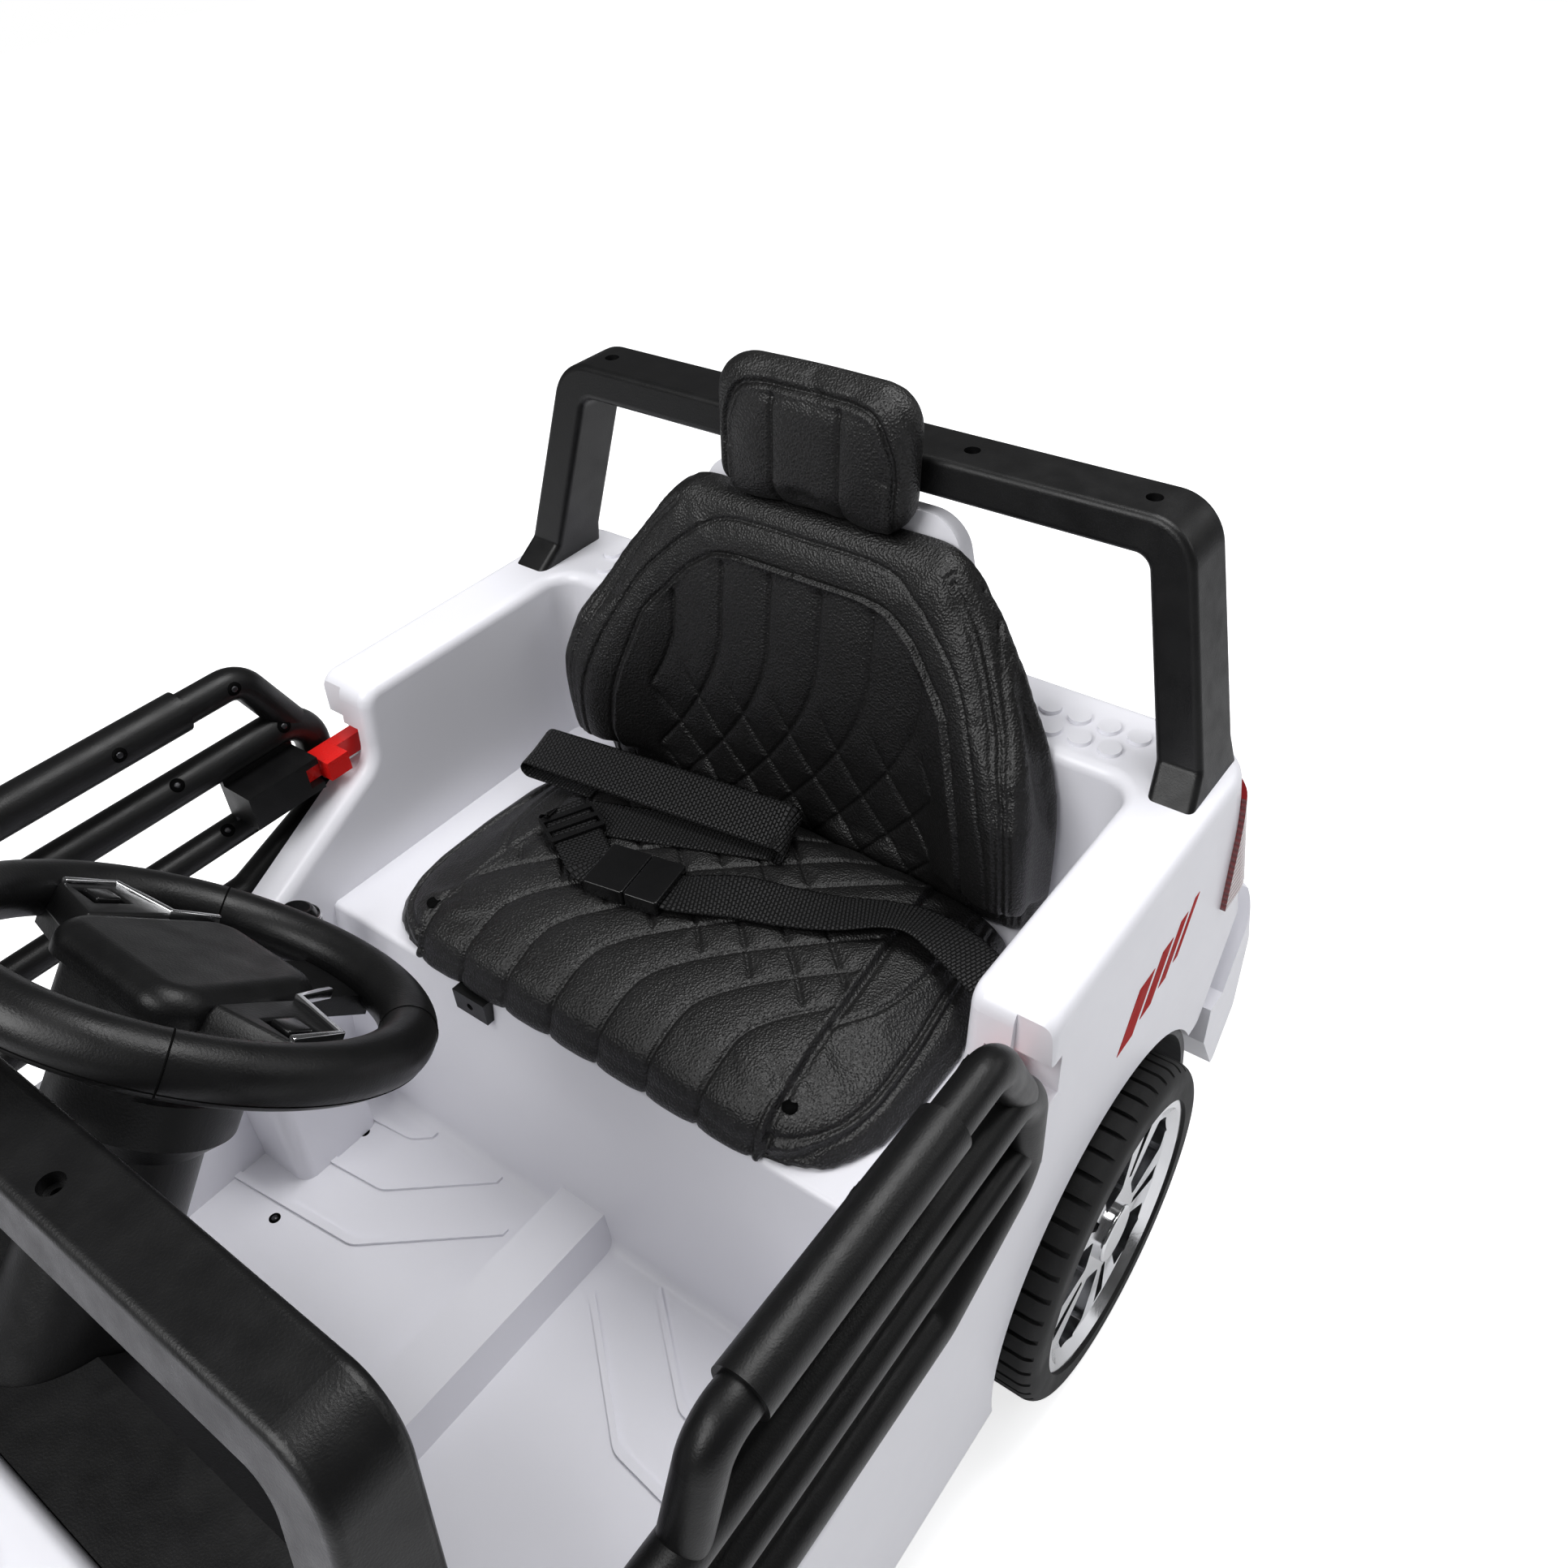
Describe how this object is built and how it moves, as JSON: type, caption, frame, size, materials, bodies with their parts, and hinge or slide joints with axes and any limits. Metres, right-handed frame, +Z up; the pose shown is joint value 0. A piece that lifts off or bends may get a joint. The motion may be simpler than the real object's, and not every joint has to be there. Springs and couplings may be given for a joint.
{
  "type": "electric ride-on car",
  "caption": "Child's open electric ride-on car with a padded seat, tubular swing doors, roll bar, steered front wheels and driven rear wheels.",
  "frame": {"origin": "on the ground under the middle of the car", "axes": "+Z up, the car faces -Y, its own left side is +X"},
  "size_m": [0.656, 1.132, 0.697],
  "materials": {
    "white_plastic": "gloss moulded",
    "black_plastic": "fine texture",
    "black_gloss": "satin gloss",
    "grey_liner": "dull",
    "red_lens": "clear red",
    "clear_lens": "clear",
    "red_plastic": "gloss",
    "leather": "grained",
    "webbing": "woven",
    "tyre": "matte moulded",
    "bright_rim": "bright plated",
    "steel": "drawn",
    "battery_case": "moulded"
  },
  "bodies": {
    "chassis": {"body_shell": "white_plastic", "front_body": "white_plastic", "bonnet": "white_plastic", "rear_bumper": "white_plastic", "front_grille": "black_gloss", "headlights": "clear_lens", "tail_lights": "red_lens", "front_bumper": "black_plastic", "arch_liners": "grey_liner", "chassis_pan": "black_plastic", "seat_tab": "black_plastic", "roll_bar": "black_plastic", "windscreen_frame": "black_plastic", "dashboard": "black_plastic", "column_shroud": "black_plastic", "door_hinges": "black_plastic", "seat_base_cushion": "leather", "seat_back_cushion": "leather", "headrest": "leather", "belt_strap_right": "webbing", "belt_strap_left": "webbing", "belt_adjuster": "black_gloss", "belt_buckle_socket": "black_gloss", "belt_buckle_tongue": "black_gloss", "rear_axle": "steel", "gearbox_left": "black_plastic", "gearbox_right": "black_plastic", "motor_left": "steel", "motor_right": "steel", "battery": "battery_case", "control_box": "black_plastic"},
    "steering": {"steering_wheel": "black_plastic", "steering_pad": "black_plastic", "steering_trim": "bright_rim", "steering_shaft": "steel"},
    "spoke_button_left": {"spoke_button_left": "black_gloss"},
    "spoke_button_right": {"spoke_button_right": "black_gloss"},
    "tie_rod": {"tie_rod": "steel"},
    "knuckle_left": {"steering_knuckle_left": "steel"},
    "knuckle_right": {"steering_knuckle_right": "steel"},
    "front_wheel_left": {"front_tyre_left": "tyre", "front_rim_left": "bright_rim"},
    "front_wheel_right": {"front_tyre_right": "tyre", "front_rim_right": "bright_rim"},
    "rear_wheel_left": {"rear_tyre_left": "tyre", "rear_rim_left": "bright_rim"},
    "rear_wheel_right": {"rear_tyre_right": "tyre", "rear_rim_right": "bright_rim"},
    "door_left": {"door_frame_left": "black_plastic", "door_grip_left": "black_plastic", "latch_housing_left": "black_plastic"},
    "door_right": {"door_frame_right": "black_plastic", "door_grip_right": "black_plastic", "latch_housing_right": "black_plastic"},
    "latch_left": {"latch_slider_left": "red_plastic"},
    "latch_right": {"latch_slider_right": "red_plastic"},
    "pedal": {"accelerator_pedal": "black_plastic"},
    "direction_lever": {"direction_lever": "black_gloss"},
    "power_switch": {"power_switch": "red_plastic"}
  },
  "joints": [
    {"name": "steering_turn", "type": "hinge", "parent": "chassis", "child": "steering", "pos_m": [0, -0.1028, 0.578], "axis": [0, 0.6428, 0.766], "range_deg": [-50, 50]},
    {"name": "tie_rod_slide", "type": "slide", "parent": "chassis", "child": "tie_rod", "axis": [1, 0, 0], "range_m": [-0.0256, 0.0256]},
    {"name": "knuckle_left_turn", "type": "hinge", "parent": "chassis", "child": "knuckle_left", "pos_m": [0.232, -0.378, 0.134], "axis": [0, 0, 1], "range_deg": [-20.2, 20.2]},
    {"name": "front_wheel_left_spin", "type": "hinge", "parent": "knuckle_left", "child": "front_wheel_left", "pos_m": [0.289, -0.378, 0.134], "axis": [1, 0, 0], "continuous": true},
    {"name": "rear_wheel_left_spin", "type": "hinge", "parent": "chassis", "child": "rear_wheel_left", "pos_m": [0.289, 0.302, 0.134], "axis": [1, 0, 0], "continuous": true},
    {"name": "door_left_swing", "type": "hinge", "parent": "chassis", "child": "door_left", "pos_m": [0.306, -0.166, 0.4], "axis": [0, 0, -1], "range_deg": [0, 60]},
    {"name": "latch_left_slide", "type": "slide", "parent": "door_left", "child": "latch_left", "axis": [0, -1, 0], "range_m": [0, 0.014], "stiffness_N_per_m": 150},
    {"name": "spoke_button_left_press", "type": "slide", "parent": "steering", "child": "spoke_button_left", "axis": [0, -0.6428, -0.766], "range_m": [0, 0.002], "stiffness_N_per_m": 300},
    {"name": "knuckle_right_turn", "type": "hinge", "parent": "chassis", "child": "knuckle_right", "pos_m": [-0.232, -0.378, 0.134], "axis": [0, 0, 1], "range_deg": [-20.2, 20.2]},
    {"name": "front_wheel_right_spin", "type": "hinge", "parent": "knuckle_right", "child": "front_wheel_right", "pos_m": [-0.289, -0.378, 0.134], "axis": [1, 0, 0], "continuous": true},
    {"name": "rear_wheel_right_spin", "type": "hinge", "parent": "chassis", "child": "rear_wheel_right", "pos_m": [-0.289, 0.302, 0.134], "axis": [1, 0, 0], "continuous": true},
    {"name": "door_right_swing", "type": "hinge", "parent": "chassis", "child": "door_right", "pos_m": [-0.306, -0.166, 0.4], "axis": [0, 0, 1], "range_deg": [0, 60]},
    {"name": "latch_right_slide", "type": "slide", "parent": "door_right", "child": "latch_right", "axis": [0, -1, 0], "range_m": [0, 0.014], "stiffness_N_per_m": 150},
    {"name": "spoke_button_right_press", "type": "slide", "parent": "steering", "child": "spoke_button_right", "axis": [0, -0.6428, -0.766], "range_m": [0, 0.002], "stiffness_N_per_m": 300},
    {"name": "pedal_press", "type": "hinge", "parent": "chassis", "child": "pedal", "pos_m": [-0.118, -0.168, 0.1494], "axis": [1, 0, 0], "range_deg": [0, 12], "stiffness_Nm_per_rad": 3},
    {"name": "direction_lever_tip", "type": "hinge", "parent": "chassis", "child": "direction_lever", "pos_m": [-0.224, 0.008, 0.19], "axis": [1, 0, 0], "range_deg": [0, 30]},
    {"name": "power_switch_tip", "type": "hinge", "parent": "chassis", "child": "power_switch", "pos_m": [0.132, -0.206, 0.398], "axis": [1, 0, 0], "range_deg": [-8, 8]}
  ],
  "couplings": [
    {"joint": "tie_rod_slide", "follows": "steering_turn", "m_per_rad": 0.0288},
    {"joint": "knuckle_left_turn", "follows": "steering_turn", "ratio": 0.4},
    {"joint": "knuckle_right_turn", "follows": "steering_turn", "ratio": 0.4}
  ]
}
